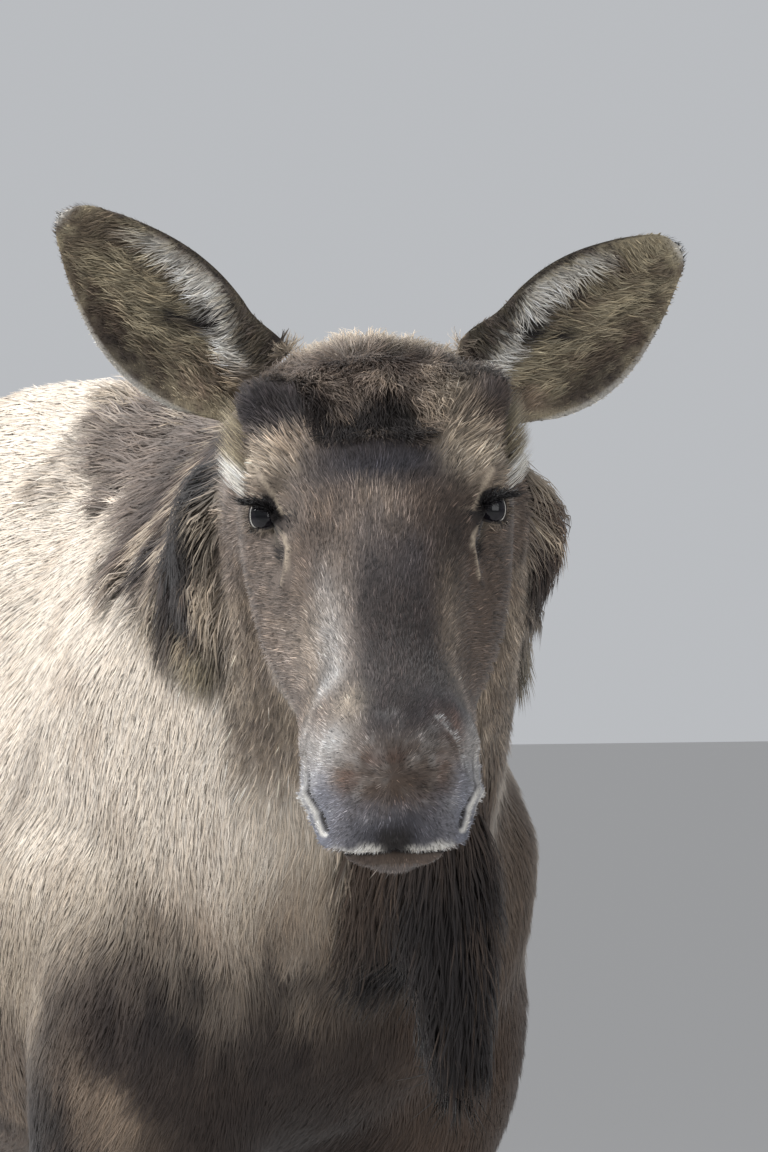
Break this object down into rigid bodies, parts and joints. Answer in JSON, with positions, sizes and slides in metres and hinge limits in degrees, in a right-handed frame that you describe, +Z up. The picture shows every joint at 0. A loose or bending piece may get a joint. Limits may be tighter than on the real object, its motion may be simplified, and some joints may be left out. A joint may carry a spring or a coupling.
{
  "type": "moose",
  "caption": "Life-size young bull moose standing still in winter coat, ears spread, antlers shed, head lowered a little and turned to its right.",
  "frame": {"origin": "the point on the floor below the middle of the whole animal's bounding box", "axes": "+Z up; the trunk lies along Y with the chest towards -Y and the tail towards +Y; +X is the animal's left"},
  "size_m": [0.751, 2.5896, 2.0587],
  "materials": {
    "body_coat": "dense winter coat, greyish cream over brown",
    "head_coat": "short greyish brown coat",
    "muzzle_coat": "very short grey-brown velvety hair",
    "bell_hair": "long dark hair",
    "upper_leg_coat": "short brown coat",
    "lower_leg_coat": "short pale grey coat",
    "velvet": "dark velvet skin",
    "horn": "black hoof horn, faintly glossy",
    "eye": "wet dark brown eye"
  },
  "bodies": {
    "root": {"antler_bud_left": "velvet", "antler_bud_right": "velvet", "bell": "bell_hair", "ear_left": "head_coat", "ear_right": "head_coat", "eye_left": "eye", "eye_right": "eye", "foreleg_left_cannon": "lower_leg_coat", "foreleg_left_dewclaw_inner": "horn", "foreleg_left_dewclaw_outer": "horn", "foreleg_left_forearm": "upper_leg_coat", "foreleg_left_hoof_inner": "horn", "foreleg_left_hoof_outer": "horn", "foreleg_left_pastern": "lower_leg_coat", "foreleg_right_cannon": "lower_leg_coat", "foreleg_right_dewclaw_inner": "horn", "foreleg_right_dewclaw_outer": "horn", "foreleg_right_forearm": "upper_leg_coat", "foreleg_right_hoof_inner": "horn", "foreleg_right_hoof_outer": "horn", "foreleg_right_pastern": "lower_leg_coat", "head": "head_coat", "hindleg_left_cannon": "lower_leg_coat", "hindleg_left_dewclaw_inner": "horn", "hindleg_left_dewclaw_outer": "horn", "hindleg_left_gaskin": "upper_leg_coat", "hindleg_left_hoof_inner": "horn", "hindleg_left_hoof_outer": "horn", "hindleg_left_pastern": "lower_leg_coat", "hindleg_right_cannon": "lower_leg_coat", "hindleg_right_dewclaw_inner": "horn", "hindleg_right_dewclaw_outer": "horn", "hindleg_right_gaskin": "upper_leg_coat", "hindleg_right_hoof_inner": "horn", "hindleg_right_hoof_outer": "horn", "hindleg_right_pastern": "lower_leg_coat", "lower_jaw": "muzzle_coat", "neck": "body_coat", "tail": "head_coat", "trunk": "body_coat"}
  },
  "joints": []
}
